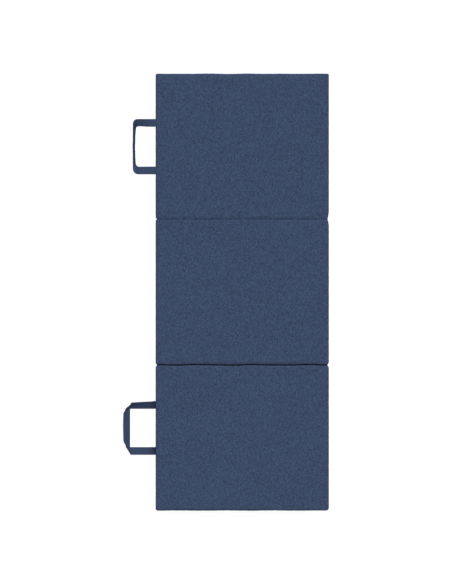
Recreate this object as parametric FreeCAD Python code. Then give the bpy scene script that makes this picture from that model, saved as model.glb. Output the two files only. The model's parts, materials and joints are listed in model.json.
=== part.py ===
"""Tri-fold gym mat: three foam panels in sewn cloth covers, joined by two hinge strips.

The crease beside the head panel (+Y) hinges at the top, so that its two panels fold top to top. The
crease beside the foot panel (-Y) hinges at the bottom, so that its two fold underside to underside.
A webbing handle hangs from the long side of each end panel, and a recessed coil zip closes the
opposite side of each cover. The origin is at the centre of the middle panel's underside, with +Z up.
"""
import math
import os

import FreeCAD, Part

V = FreeCAD.Vector

# Driving dimensions, in millimetres
panel_length = 607.0
panel_width = 724.0
panel_thickness = 50.0
crease_gap = 4.0

# Rounding of a panel: outer edges, the open edges of a crease, and the edges sewn to a hinge strip
side_edge_radius = 7.0
open_edge_radius = 5.5
hinge_edge_radius = 2.0
outer_corner_radius = 8.0
crease_corner_radius = 5.0

# Cover cloth and foam
cloth_thickness = 1.2
seam_drop = 2.2
foam_clearance = 0.3
smallest_radius = 0.4

# Hinge strips
strip_cloth = 0.9
strip_clearance = 0.3
strip_flange = 11.0
strip_recess = 1.0
strip_end_margin = 4.0

# Webbing handles
strap_width = 32.0
strap_thickness = 2.4
strap_cut_length = 520.0
strap_side_clearance = 0.3
strap_cover_clearance = 0.1
pivot_offset = 2.0
anchor_end_offset = 0.5
head_leg_spacing = 199.0
head_leg_length = 71.0
head_bend_radius = 8.0
head_bend_angle = 78.0
head_handle_shift = -4.0
floor_clearance = 0.3
foot_leg_spacing = 193.0
foot_leg_length = 117.0
foot_handle_shift = 38.0

# Coil zip, recessed in a slot of the side band
zip_length = 510.0
zip_tail = 18.0
slot_height = 12.0
facing_thickness = 1.0
facing_depth = 5.8
facing_flange = 4.0
tape_thickness = 0.6
tape_gap = 2.4
tape_width = 8.3
coil_gap = 2.0
coil_width = 2.0
coil_height = 1.4
stop_length = 3.0
stop_width = 7.0
stop_height = 2.0
slider_length = 9.0
slider_width = 7.4
slider_plate = 1.0
slider_clearance = 0.3
slider_post_width = 1.4
slider_post_length = 2.0
crown_length = 5.0
crown_opening = 3.2
crown_height = 2.0
crown_wall = 0.8
crown_width = 1.6
pull_length = 15.0
pull_width = 4.8
pull_thickness = 0.8
pull_arm = 1.0
pull_eye = 3.2
pull_plate_gap = 0.2

# Derived places
panel_pitch = panel_length + crease_gap
half_width = panel_width / 2
handle_x = -half_width - pivot_offset
strap_inset = cloth_thickness + strap_cover_clearance + strap_thickness / 2
head_pivot_z = panel_thickness - strap_inset
foot_pivot_z = strap_inset
slot_length = zip_length + 2 * zip_tail
zip_z = panel_thickness / 2
facing_x = half_width - facing_depth
tape_x = facing_x - tape_thickness
coil_top_x = facing_x + coil_height
slider_outer_x = coil_top_x + slider_clearance
slider_inner_x = tape_x - slider_clearance - slider_plate
crown_x = slider_outer_x + slider_plate
pull_axis_x = crown_x + pull_plate_gap + pull_thickness / 2
slider_rest = zip_length / 2 - stop_length - slider_clearance - slider_length / 2

os.makedirs("parts", exist_ok=True)


class Panel:
    """One panel's place along Y and the rounding of its four crosswise edges.

    The radii run round the lengthwise section from the lower edge at low Y:
    (low Y, bottom), (high Y, bottom), (high Y, top), (low Y, top).
    """

    def __init__(self, name, centre, section_radii, plan_radii):
        self.name = name
        self.centre = centre
        self.section_radii = section_radii
        self.plan_radii = plan_radii


panels = [
    Panel(
        "head",
        panel_pitch,
        (open_edge_radius, side_edge_radius, side_edge_radius, hinge_edge_radius),
        (crease_corner_radius, crease_corner_radius, outer_corner_radius, outer_corner_radius),
    ),
    Panel(
        "middle",
        0.0,
        (hinge_edge_radius, open_edge_radius, hinge_edge_radius, open_edge_radius),
        (crease_corner_radius,) * 4,
    ),
    Panel(
        "foot",
        -panel_pitch,
        (side_edge_radius, hinge_edge_radius, open_edge_radius, side_edge_radius),
        (outer_corner_radius, outer_corner_radius, crease_corner_radius, crease_corner_radius),
    ),
]


def save(name, shapes):
    """Write one solid, or several separate ones, as a node."""
    shape = shapes[0] if len(shapes) == 1 else Part.makeCompound(shapes)
    shape.exportStep(f"parts/{name}.step")


def box(x0, x1, y0, y1, z0, z1):
    """Axis-aligned box between two limits on each axis."""
    return Part.makeBox(x1 - x0, y1 - y0, z1 - z0, V(x0, y0, z0))


def rounded_rectangle(u0, v0, u1, v1, radii):
    """Face in the XY plane; the four radii run anticlockwise from the (u0, v0) corner."""
    corners = [(u0, v0), (u1, v0), (u1, v1), (u0, v1)]
    inward = [(1, 1), (-1, 1), (-1, -1), (1, -1)]
    arcs = []
    for turn, (corner, side, radius) in enumerate(zip(corners, inward, radii)):
        centre = V(corner[0] + side[0] * radius, corner[1] + side[1] * radius, 0)
        angles = [math.radians(180 + 90 * turn + step) for step in (0, 45, 90)]
        points = [centre + V(math.cos(a), math.sin(a), 0) * radius for a in angles]
        arcs.append(Part.Arc(*points).toShape())
    edges = []
    for arc, following in zip(arcs, arcs[1:] + arcs[:1]):
        edges.append(arc)
        start = arc.valueAt(arc.LastParameter)
        end = following.valueAt(following.FirstParameter)
        edges.append(Part.makeLine(start, end))
    return Part.Face(Part.Wire(edges))


def turned(face, degrees, length, start):
    """Extrude a face that was drawn in XY along another axis.

    A turn of 120 degrees about (1, 1, 1) makes the drawn axes Y and Z and extrudes along X;
    240 degrees makes them Z and X and extrudes along Y.
    """
    solid = face.extrude(V(0, 0, length))
    solid.translate(V(0, 0, start))
    solid.rotate(V(0, 0, 0), V(1, 1, 1), degrees)
    return solid


def panel_block(panel, inset):
    """The panel's rounded block, with every face moved inward by the inset."""
    x1 = half_width - inset
    y0 = panel.centre - panel_length / 2 + inset
    y1 = panel.centre + panel_length / 2 - inset
    z1 = panel_thickness - inset
    plan_radii = [max(radius - inset, smallest_radius) for radius in panel.plan_radii]
    section_radii = [max(radius - inset, smallest_radius) for radius in panel.section_radii]
    side_radii = [max(side_edge_radius - inset, smallest_radius)] * 4
    plan = rounded_rectangle(-x1, y0, x1, y1, plan_radii).extrude(V(0, 0, panel_thickness))
    lengthwise = turned(rounded_rectangle(y0, inset, y1, z1, section_radii), 120, 2 * x1, -x1)
    crosswise = turned(rounded_rectangle(inset, -x1, z1, x1, side_radii), 240, y1 - y0, y0)
    return plan.common(lengthwise).common(crosswise)


def strap_slot(leg_y, pivot_z, depth, side_clearance, height_clearance):
    """Clearance box round one strap leg, from outside the cover to a depth inside it."""
    reach = strap_width / 2 + side_clearance
    height = strap_thickness / 2 + height_clearance
    return box(
        handle_x,
        handle_x + depth,
        leg_y - reach,
        leg_y + reach,
        pivot_z - height,
        pivot_z + height,
    )


def handle_places(panel):
    """Leg positions along Y, pivot height and leg spacing of a panel's handle, if it has one."""
    if panel.name == "head":
        centre = panel.centre + head_handle_shift
        return centre, head_pivot_z, head_leg_spacing
    if panel.name == "foot":
        centre = panel.centre + foot_handle_shift
        return centre, foot_pivot_z, foot_leg_spacing
    return None


def anchor_length(panel):
    """Length of strap sewn inside the cover at each end, out of the strap's cut length."""
    bend = math.radians(head_bend_angle) * head_bend_radius
    if panel.name == "head":
        loop = 2 * (head_leg_length + bend + head_hang_length()) + head_leg_spacing
    else:
        loop = 2 * foot_leg_length + foot_leg_spacing
    return (strap_cut_length - loop) / 2


def leg_centres(panel):
    """The Y of both strap legs of a panel's handle."""
    centre, _, spacing = handle_places(panel)
    return centre - spacing / 2, centre + spacing / 2


def cover(panel):
    """Top sheet, side band and bottom sheet, with slots for the straps and the zip."""
    shell = panel_block(panel, 0).cut(panel_block(panel, cloth_thickness))
    cutters = [zip_slot(panel)]
    if handle_places(panel):
        pivot_z = handle_places(panel)[1]
        slot_depth = pivot_offset + side_edge_radius + cloth_thickness
        for leg_y in leg_centres(panel):
            slot = strap_slot(leg_y, pivot_z, slot_depth, strap_side_clearance, strap_cover_clearance)
            cutters.append(slot)
    shell = shell.cut(cutters)
    reach_y0 = panel.centre - panel_length
    reach_y1 = panel.centre + panel_length
    levels = [0, seam_drop, panel_thickness - seam_drop, panel_thickness]
    names = ["bottom_sheet", "side_band", "top_sheet"]
    for name, low, high in zip(names, levels, levels[1:]):
        layer = box(-panel_width, panel_width, reach_y0, reach_y1, low, high)
        save(f"{panel.name}_{name}", shell.common(layer).Solids)


def foam_core(panel):
    """Foam block that fills the cover, relieved round the strap ends and behind the zip."""
    core = panel_block(panel, cloth_thickness + foam_clearance)
    cutters = [zip_channel(panel)]
    if handle_places(panel):
        pivot_z = handle_places(panel)[1]
        depth = pivot_offset + anchor_length(panel)
        for leg_y in leg_centres(panel):
            slot = strap_slot(leg_y, pivot_z, depth, strap_side_clearance, foam_clearance)
            cutters.append(slot)
    save(f"{panel.name}_foam_core", core.cut(cutters).Solids)


def zip_slot(panel):
    """Opening through the side band for the zip."""
    return box(
        half_width - side_edge_radius,
        half_width + cloth_thickness,
        panel.centre - slot_length / 2,
        panel.centre + slot_length / 2,
        zip_z - slot_height / 2,
        zip_z + slot_height / 2,
    )


def zip_channel(panel):
    """Shallow channel in the foam behind the zip."""
    reach_y = slot_length / 2 + foam_clearance
    reach_z = slot_height / 2 + facing_flange + foam_clearance
    return box(
        slider_inner_x - foam_clearance,
        half_width,
        panel.centre - reach_y,
        panel.centre + reach_y,
        zip_z - reach_z,
        zip_z + reach_z,
    )


def zip_strip(panel, x0, x1, z0, z1, length, side):
    """Strip along the zip, at distances z0 to z1 from its centre line, above (+1) or below (-1)."""
    low, high = sorted((zip_z + side * z0, zip_z + side * z1))
    return box(x0, x1, panel.centre - length / 2, panel.centre + length / 2, low, high)


def zip_chain(panel):
    """Facings, tapes and coils on both sides of the zip, and the two end stops."""
    lip_start = slot_height / 2 - facing_thickness
    lip_end = slot_height / 2
    for side_name, side in (("upper", 1), ("lower", -1)):
        lip = zip_strip(panel, facing_x, half_width, lip_start, lip_end, slot_length, side)
        flange_x = facing_x + facing_thickness
        flange_end = lip_end + facing_flange
        flange = zip_strip(panel, facing_x, flange_x, lip_end, flange_end, slot_length, side)
        save(f"{panel.name}_zip_facing_{side_name}", [lip.fuse(flange).removeSplitter()])

        tape_start = tape_gap / 2
        tape_end = tape_start + tape_width
        tape = zip_strip(panel, tape_x, facing_x, tape_start, tape_end, slot_length, side)
        save(f"{panel.name}_zip_tape_{side_name}", [tape])

        coil_start = coil_gap / 2
        coil_end = coil_start + coil_width
        coil_length = zip_length - 2 * stop_length
        coil = zip_strip(panel, facing_x, coil_top_x, coil_start, coil_end, coil_length, side)
        save(f"{panel.name}_zip_coil_{side_name}", [coil])

    stops = []
    for end in (-1, 1):
        outer = panel.centre + end * zip_length / 2
        inner = outer - end * stop_length
        low, high = sorted((inner, outer))
        z0 = zip_z - stop_width / 2
        z1 = zip_z + stop_width / 2
        stops.append(box(facing_x, facing_x + stop_height, low, high, z0, z1))
    save(f"{panel.name}_zip_stops", stops)


def zip_slider(panel):
    """Slider: two plates joined by a post between the coils, with a crown for the pull."""
    y = panel.centre + slider_rest
    half_length = slider_length / 2
    z0 = zip_z - slider_width / 2
    z1 = zip_z + slider_width / 2
    outer = box(slider_outer_x, crown_x, y - half_length, y + half_length, z0, z1)
    inner_x1 = slider_inner_x + slider_plate
    inner = box(slider_inner_x, inner_x1, y - half_length, y + half_length, z0, z1)
    post = box(
        inner_x1,
        slider_outer_x,
        y + half_length - slider_post_length,
        y + half_length,
        zip_z - slider_post_width / 2,
        zip_z + slider_post_width / 2,
    )
    crown = box(
        crown_x,
        crown_x + crown_height,
        y - crown_length / 2,
        y + crown_length / 2,
        zip_z - crown_width / 2,
        zip_z + crown_width / 2,
    )
    opening = box(
        crown_x,
        crown_x + crown_height - crown_wall,
        y - crown_opening / 2,
        y + crown_opening / 2,
        zip_z - crown_width,
        zip_z + crown_width,
    )
    slider = outer.fuse([inner, post, crown.cut(opening)]).removeSplitter()
    save(f"{panel.name}_zip_slider", slider.Solids)


def zip_pull(panel):
    """Pull tab lying back over the closed chain, with an eye round the slider's crown."""
    y = panel.centre + slider_rest
    bar_radius = pull_thickness / 2
    x0 = pull_axis_x - bar_radius
    x1 = pull_axis_x + bar_radius
    z0 = zip_z - pull_width / 2
    z1 = zip_z + pull_width / 2
    tab = box(x0, x1, y - pull_length, y, z0, z1)
    eye = box(x0, x1, y - pull_eye, y, z0 + pull_arm, z1 - pull_arm)
    bar = Part.makeCylinder(bar_radius, pull_width, V(pull_axis_x, y, z0))
    save(f"{panel.name}_zip_pull", tab.cut(eye).fuse(bar).removeSplitter().Solids)


def hinge_strip(name, centre_y, hinge_at_top):
    """U-shaped strip of cloth in a crease, sewn along the edge where the two panels hinge."""
    reach = half_width - strip_end_margin
    outer_y = crease_gap / 2 - strip_clearance
    inner_y = outer_y - strip_cloth
    outer = box(-reach, reach, centre_y - outer_y, centre_y + outer_y, 0, strip_flange)
    inner = box(-reach, reach, centre_y - inner_y, centre_y + inner_y, strip_cloth, strip_flange)
    strip = outer.cut(inner)
    strip.translate(V(0, 0, strip_recess))
    if hinge_at_top:
        strip = strip.mirror(V(0, 0, panel_thickness / 2), V(0, 0, 1))
    save(name, strip.Solids)


def strap_polygon(points, low, high):
    """Flat length of strap between two heights, from its outline in plan."""
    outline = [V(x, y, low) for x, y in points]
    face = Part.Face(Part.makePolygon(outline + outline[:1]))
    return face.extrude(V(0, 0, high - low))


def folded_loop_end(reach, spacing):
    """Two leg ends folded at 45 degrees into the far section, which lies on top of them.

    The legs start at x = 0 and run along -X; the far section's centre line is at -reach.
    """
    half = strap_width / 2
    leg_y = spacing / 2
    under = -strap_thickness / 2
    middle = strap_thickness / 2
    over = middle + strap_thickness
    pieces = []
    for side in (1, -1):
        inner = side * (leg_y - half)
        outer = side * (leg_y + half)
        leg = [(0, inner), (0, outer), (-reach + half, outer), (-reach - half, inner)]
        pieces.append(strap_polygon(leg, under, middle))
    far = [
        (-reach + half, leg_y + half),
        (-reach - half, leg_y - half),
        (-reach - half, half - leg_y),
        (-reach + half, -leg_y - half),
    ]
    pieces.append(strap_polygon(far, middle, over))
    return pieces


def strap_roots(spacing):
    """Rounded leg ends at the seam, where the handle swings."""
    roots = []
    for side in (1, -1):
        start = V(0, side * spacing / 2 - strap_width / 2, 0)
        roots.append(Part.makeCylinder(strap_thickness / 2, strap_width, start, V(0, 1, 0)))
    return roots


def head_hang_length():
    """From the end of the bend to the far section's centre line, just clear of the floor."""
    angle = math.radians(head_bend_angle)
    bend_end_z = head_pivot_z - head_bend_radius * (1 - math.cos(angle))
    lowest = floor_clearance + strap_thickness / 2 * math.cos(angle)
    return (bend_end_z - lowest) / math.sin(angle) - strap_width / 2


def save_handle(name, pieces, place):
    """Join a handle's lengths of strap into one solid and put its pivot in place."""
    handle = pieces[0].fuse(pieces[1:]).removeSplitter()
    handle.translate(place)
    save(name, handle.Solids)


def head_handle(panel):
    """Loop whose legs leave the cover level and turn down, so that its far section hangs."""
    centre, pivot_z, spacing = handle_places(panel)
    bend_centre = V(-head_leg_length, 0, -head_bend_radius)
    pieces = strap_roots(spacing)
    for side in (1, -1):
        low = side * spacing / 2 - strap_width / 2
        high = low + strap_width
        half = strap_thickness / 2
        pieces.append(box(-head_leg_length, 0, low, high, -half, half))
        corners = [(low, -half), (high, -half), (high, half), (low, half)]
        section = [V(-head_leg_length, y, z) for y, z in corners]
        face = Part.Face(Part.makePolygon(section + section[:1]))
        pieces.append(face.revolve(bend_centre, V(0, 1, 0), -head_bend_angle))
    angle = math.radians(head_bend_angle)
    bend_end = bend_centre + V(-math.sin(angle), 0, math.cos(angle)) * head_bend_radius
    for piece in folded_loop_end(head_hang_length(), spacing):
        piece.rotate(V(0, 0, 0), V(0, 1, 0), -head_bend_angle)
        piece.translate(bend_end)
        pieces.append(piece)
    save_handle("head_handle", pieces, V(handle_x, centre, pivot_z))


def foot_handle(panel):
    """Loop that lies flat, close to the floor."""
    centre, pivot_z, spacing = handle_places(panel)
    pieces = strap_roots(spacing) + folded_loop_end(foot_leg_length, spacing)
    save_handle("foot_handle", pieces, V(handle_x, centre, pivot_z))


def handle_anchors(panel):
    """The strap's two ends, sewn inside the cover through the seam."""
    pivot_z = handle_places(panel)[1]
    start = -half_width - anchor_end_offset
    half = strap_thickness / 2
    ends = []
    for leg_y in leg_centres(panel):
        low = leg_y - strap_width / 2
        high = low + strap_width
        end = start + anchor_length(panel)
        ends.append(box(start, end, low, high, pivot_z - half, pivot_z + half))
    save(f"{panel.name}_handle_anchors", ends)


for panel in panels:
    cover(panel)
    foam_core(panel)
    zip_chain(panel)
    zip_slider(panel)
    zip_pull(panel)
    if handle_places(panel):
        handle_anchors(panel)

head_handle(panels[0])
foot_handle(panels[2])
hinge_strip("head_hinge_strip", panel_pitch / 2, hinge_at_top=True)
hinge_strip("foot_hinge_strip", -panel_pitch / 2, hinge_at_top=False)
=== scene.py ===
"""Looks of the folding gym mat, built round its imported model. Lengths are in metres."""
import json
import math

import bpy
import numpy as np
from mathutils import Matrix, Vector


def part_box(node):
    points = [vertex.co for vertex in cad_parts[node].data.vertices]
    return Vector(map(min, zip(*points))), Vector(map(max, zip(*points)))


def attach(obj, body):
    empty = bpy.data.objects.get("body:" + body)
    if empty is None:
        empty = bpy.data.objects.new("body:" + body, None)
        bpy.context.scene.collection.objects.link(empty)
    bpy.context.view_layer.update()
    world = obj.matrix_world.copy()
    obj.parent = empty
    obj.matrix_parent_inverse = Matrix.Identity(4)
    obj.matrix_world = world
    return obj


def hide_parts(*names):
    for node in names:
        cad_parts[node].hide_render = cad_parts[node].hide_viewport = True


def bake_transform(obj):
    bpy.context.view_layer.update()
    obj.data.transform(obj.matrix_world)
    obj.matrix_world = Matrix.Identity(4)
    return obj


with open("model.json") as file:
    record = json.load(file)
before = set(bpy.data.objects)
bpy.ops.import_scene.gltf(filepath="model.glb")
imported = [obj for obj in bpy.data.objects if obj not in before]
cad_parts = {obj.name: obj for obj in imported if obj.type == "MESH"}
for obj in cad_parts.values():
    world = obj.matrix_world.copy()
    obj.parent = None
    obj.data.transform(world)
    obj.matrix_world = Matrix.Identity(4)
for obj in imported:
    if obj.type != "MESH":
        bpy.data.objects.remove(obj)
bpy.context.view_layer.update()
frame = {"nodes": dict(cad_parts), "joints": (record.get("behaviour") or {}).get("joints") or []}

# Cloth, edges, mesh steps, straps, zips and stitches, in metres
MM = 0.001
CLOTH = 0.0012
STRIP_CLOTH = 0.0009
FACING_CLOTH = 0.0008
TAPE_CLOTH = 0.00055
PROUD = 0.0005
CORE_GAP = 0.0003
SIDE_RADIUS = 0.007
OPEN_RADIUS = 0.0055
HINGE_RADIUS = 0.0022
GRID_STEP = 0.0085
EDGE_STEPS = (0.0, 0.0010, 0.0024, 0.0042, 0.0065, 0.0100, 0.0160)
SLUMP_REACH = 0.022
STRAP_WIDTH = 0.0328
STRAP_THICKNESS = 0.0022
STRAP_RIB = 0.0021
STRAP_PICK = 0.0026
COIL_PITCH = 0.00135
COIL_WIRE = 0.00030
COIL_SIDES = 5
STITCH_PITCH = 0.0034
STITCH_LENGTH = 0.0024
STITCH_RADIUS = 0.00028
STITCH_LIFT = 0.0001

# Heights of the rows of points round a side band, from the top seam down
BAND_HEIGHTS = np.array([0.046, 0.0435, 0.040, 0.0355, 0.031, 0.025, 0.019, 0.0145, 0.010, 0.0065, 0.004])

# Filling of a cover: simulated frames, and the limit of a move along each axis
FILL_FRAMES = 20
MOVE_LIMIT = (0.0005, 0.0005, 0.0016)

# Colours of the cloth and the straps
NAVY = np.array([0.0430, 0.0670, 0.1285])
WEBBING_NAVY = NAVY + np.array([0.0030, 0.0010, 0.0010])

# Light, floor and view. The three lights add up to 1 on a level surface
SKY = 0.42
CEILING = 0.22
WINDOW = 1 - SKY - CEILING
WINDOW_ELEVATION = math.radians(32)
WINDOW_TURN = math.radians(12)
VIEW_HEIGHT = 2.4436
VIEW_CENTRE = (-0.0681, 0.0005)
VIEW_DISTANCE = 20.0
SENSOR_WIDTH = 36.0
FLOOR_REACH = 60.0
FLOOR_DROP = 0.0004
FLOOR_GREY = 0.3
FLOOR_GLOW = 0.85

# The frame's own places
HALF_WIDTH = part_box("middle_side_band")[1].x + PROUD
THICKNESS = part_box("middle_top_sheet")[1].z
SEAM_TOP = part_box("middle_side_band")[1].z
JOINTS = {joint["name"]: joint for joint in frame["joints"]}


# ---------------------------------------------------------------- mesh helpers

def mesh_piece(name, points, quads, material, uv=None, smooth=True, caps=()):
    """A mesh object from an array of points and an array of four-cornered faces.

    uv, if given, holds one pair for each point. caps are further faces, of any number of corners.
    """
    mesh = bpy.data.meshes.new(name)
    mesh.from_pydata(points.reshape(-1, 3).tolist(), [], quads.tolist() + list(caps))
    mesh.polygons.foreach_set("use_smooth", np.full(len(mesh.polygons), smooth))
    if uv is not None:
        corners = np.zeros(len(mesh.loops), int)
        mesh.loops.foreach_get("vertex_index", corners)
        layer = mesh.uv_layers.new(name="Length")
        layer.data.foreach_set("uv", uv.reshape(-1, 2)[corners].astype(np.float32).ravel())
    mesh.materials.append(material)
    piece = bpy.data.objects.new(name, mesh)
    bpy.context.scene.collection.objects.link(piece)
    return piece


def grid_quads(rows, columns, close_rows=False, close_columns=False):
    """Faces of a grid of points numbered row * columns + column; either way can close on itself."""
    row = np.arange(rows if close_rows else rows - 1)
    column = np.arange(columns if close_columns else columns - 1)
    row, column = np.meshgrid(row, column, indexing="ij")
    next_row = (row + 1) % rows
    next_column = (column + 1) % columns
    corners = [row * columns + column, next_row * columns + column,
               next_row * columns + next_column, row * columns + next_column]
    return np.stack([corner.ravel() for corner in corners], axis=1)


def wander(along, wavelength, seed, turns=5):
    """A smooth random curve of about unit size: sines near one wavelength, with random phases."""
    random = np.random.default_rng(seed)
    total = np.zeros_like(along)
    for _ in range(turns):
        length = wavelength * random.uniform(0.7, 1.6)
        total += np.sin(2 * np.pi * along / length + random.uniform(0, 2 * np.pi))
    return total / math.sqrt(turns)


def smooth_step(value):
    """0 below 0, 1 above 1, and 3v^2 - 2v^3 between."""
    value = np.clip(value, 0, 1)
    return value * value * (3 - 2 * value)


def add_modifier(piece, kind, **settings):
    """Adds a modifier with its settings."""
    modifier = piece.modifiers.new(kind.title(), kind)
    for key, value in settings.items():
        setattr(modifier, key, value)


def finish_cloth(piece, thickness=CLOTH, offset=-1):
    """Rounds the cloth once and gives it its thickness: inward at offset -1, half each way at 0."""
    add_modifier(piece, "SUBSURF", levels=1, render_levels=1, boundary_smooth="PRESERVE_CORNERS")
    add_modifier(piece, "SOLIDIFY", thickness=thickness, offset=offset)


# ---------------------------------------------------------------- materials

class Shader:
    """A Principled material and short ways to add nodes to it."""

    def __init__(self, name):
        self.material = bpy.data.materials.new(name)
        self.material.use_nodes = True
        self.tree = self.material.node_tree
        self.surface = self.tree.nodes["Principled BSDF"]

    def node(self, kind, inputs=None, **settings):
        """A node with its settings; an input takes a value or another node's output."""
        made = self.tree.nodes.new(kind)
        for key, value in settings.items():
            setattr(made, key, value)
        for key, value in (inputs or {}).items():
            if isinstance(value, bpy.types.NodeSocket):
                self.tree.links.new(value, made.inputs[key])
            else:
                made.inputs[key].default_value = value
        return made

    def math(self, operation, first, second=0.0, third=0.0):
        """The output of a Math node."""
        inputs = {0: first, 1: second, 2: third}
        return self.node("ShaderNodeMath", inputs, operation=operation).outputs[0]

    def scaled(self, vector, scale):
        """The vector times three factors."""
        made = self.node("ShaderNodeVectorMath", {0: vector, 1: scale}, operation="MULTIPLY")
        return made.outputs[0]

    def noise(self, vector, detail=2.0):
        """A noise of about 0 to 1 whose features are one unit of the vector across."""
        inputs = {"Vector": vector, "Scale": 1.0, "Detail": detail, "Roughness": 0.5}
        return self.node("ShaderNodeTexNoise", inputs).outputs["Fac"]

    def tint(self, factor, dark, light):
        """A colour between two, by a factor from 0 to 1."""
        made = self.node("ShaderNodeMix", {0: factor, 6: (*dark, 1), 7: (*light, 1)}, data_type="RGBA")
        return made.outputs[2]

    def finish(self, colour, roughness, height=None, depth=0.0, sheen=0.0, metallic=0.0, specular=0.5):
        """Joins a colour and a height, in metres, to the surface."""
        if isinstance(colour, bpy.types.NodeSocket):
            self.tree.links.new(colour, self.surface.inputs["Base Color"])
        else:
            self.surface.inputs["Base Color"].default_value = (*colour, 1)
        if isinstance(roughness, bpy.types.NodeSocket):
            self.tree.links.new(roughness, self.surface.inputs["Roughness"])
        else:
            self.surface.inputs["Roughness"].default_value = roughness
        self.surface.inputs["Metallic"].default_value = metallic
        self.surface.inputs["Specular IOR Level"].default_value = specular
        self.surface.inputs["Sheen Weight"].default_value = sheen
        self.surface.inputs["Sheen Roughness"].default_value = 0.5
        if height is not None:
            bump = self.node("ShaderNodeBump", {"Height": height, "Distance": depth, "Strength": 1.0})
            self.tree.links.new(bump.outputs["Normal"], self.surface.inputs["Normal"])
        return self.material


def heather_cloth(name, painted_shade_factor=1.0):
    """Backed polyester in heathered navy: slubs along both yarns, fine flecks and a plain weave. A factor
    below 1 darkens the whole cloth, as painted shade.
    """
    shader = Shader(name)
    place = shader.node("ShaderNodeTexCoord").outputs["Object"]
    warp = shader.noise(shader.scaled(place, (1000.0, 105.0, 300.0)), detail=1.5)
    weft = shader.noise(shader.scaled(place, (125.0, 1000.0, 300.0)), detail=1.5)
    patch = shader.noise(shader.scaled(place, (42.0, 42.0, 42.0)), detail=1.0)
    choose = shader.node("ShaderNodeMapRange", {0: patch, 1: 0.45, 2: 0.62}).outputs[0]
    streak = shader.node("ShaderNodeMix", {0: choose, 2: warp, 3: weft}, data_type="FLOAT").outputs[0]
    slub = shader.noise(shader.scaled(place, (330.0, 165.0, 230.0)), detail=1.0)
    amount = shader.math("MULTIPLY_ADD", streak, 1.5, -0.25 - 0.75)
    amount = shader.math("MULTIPLY_ADD", slub, 1.5, amount)
    amount = shader.node("ShaderNodeMath", {0: amount, 1: 0.0}, operation="ADD", use_clamp=True).outputs[0]
    colour = shader.tint(amount, NAVY * painted_shade_factor * 0.46, NAVY * painted_shade_factor * 1.54)
    split = shader.node("ShaderNodeSeparateXYZ", {0: shader.scaled(place, (9000.0, 9000.0, 9000.0))}).outputs
    over = shader.math("MULTIPLY", shader.math("SINE", split[0]), shader.math("SINE", split[1]))
    upright = shader.math("ADD", shader.math("SINE", split[0]), shader.math("SINE", split[1]))
    upright = shader.math("MULTIPLY", upright, shader.math("SINE", split[2]))
    weave = shader.math("ADD", over, upright)
    height = shader.math("MULTIPLY_ADD", amount, 1.5, weave)
    return shader.finish(colour, 0.88, height, 0.00005, sheen=0.03, specular=0.1)


def webbing_material(name):
    """Polyester webbing: ribs along the strap, crossed by fine picks in alternate columns."""
    shader = Shader(name)
    uv = shader.node("ShaderNodeUVMap", uv_map="Length").outputs[0]
    split = shader.node("ShaderNodeSeparateXYZ", {0: uv}).outputs
    across = shader.math("MULTIPLY", split[0], math.pi / STRAP_RIB)
    column = shader.math("ABSOLUTE", shader.math("SINE", across))
    turn = shader.math("FLOOR", shader.math("DIVIDE", split[0], STRAP_RIB))
    turn = shader.math("MULTIPLY", turn, math.pi)
    pick = shader.math("SINE", shader.math("MULTIPLY_ADD", split[1], 2 * math.pi / STRAP_PICK, turn))
    ribs = shader.math("MULTIPLY", column, shader.math("MULTIPLY_ADD", pick, 0.35, 0.65))
    fleck = shader.noise(shader.scaled(uv, (700.0, 260.0, 1.0)), detail=2.0)
    slow = shader.noise(shader.scaled(uv, (30.0, 22.0, 1.0)), detail=2.0)
    amount = shader.math("MULTIPLY_ADD", ribs, 0.35, shader.math("MULTIPLY", fleck, 0.4))
    amount = shader.math("MULTIPLY_ADD", slow, 0.35, amount)
    colour = shader.tint(amount, WEBBING_NAVY * 0.62, WEBBING_NAVY * 1.32)
    return shader.finish(colour, 0.85, ribs, 0.00030, specular=0.02)


def tape_material(name):
    """Zip tape: a fine herringbone in darker navy."""
    shader = Shader(name)
    place = shader.node("ShaderNodeTexCoord").outputs["Object"]
    split = shader.node("ShaderNodeSeparateXYZ", {0: place}).outputs
    slant = shader.math("PINGPONG", split[2], 0.0016)
    line = shader.math("ADD", split[1], slant)
    twill = shader.math("SINE", shader.math("MULTIPLY", line, 2 * math.pi / 0.0009))
    amount = shader.math("MULTIPLY_ADD", twill, 0.25, 0.5)
    colour = shader.tint(amount, NAVY * 0.45, NAVY * 0.85)
    return shader.finish(colour, 0.8, twill, 0.0001, sheen=0.08, specular=0.3)


def thread_material(name):
    """Sewing thread: two twisted plies in a slightly lighter navy."""
    shader = Shader(name)
    place = shader.node("ShaderNodeTexCoord").outputs["Object"]
    grain = shader.noise(shader.scaled(place, (2600.0, 2600.0, 2600.0)), detail=1.0)
    colour = shader.tint(grain, NAVY * 0.8, NAVY * 1.7)
    return shader.finish(colour, 0.6, grain, 0.0001, sheen=0.1, specular=0.4)


def coil_material(name):
    """Nylon coil: smooth dark plastic with faint streaks."""
    shader = Shader(name)
    place = shader.node("ShaderNodeTexCoord").outputs["Object"]
    grain = shader.noise(shader.scaled(place, (600.0, 600.0, 600.0)), detail=2.0)
    colour = shader.tint(grain, (0.012, 0.017, 0.032), (0.026, 0.035, 0.060))
    rough = shader.math("MULTIPLY_ADD", grain, 0.15, 0.3)
    return shader.finish(colour, rough, grain, 0.00002)


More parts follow.
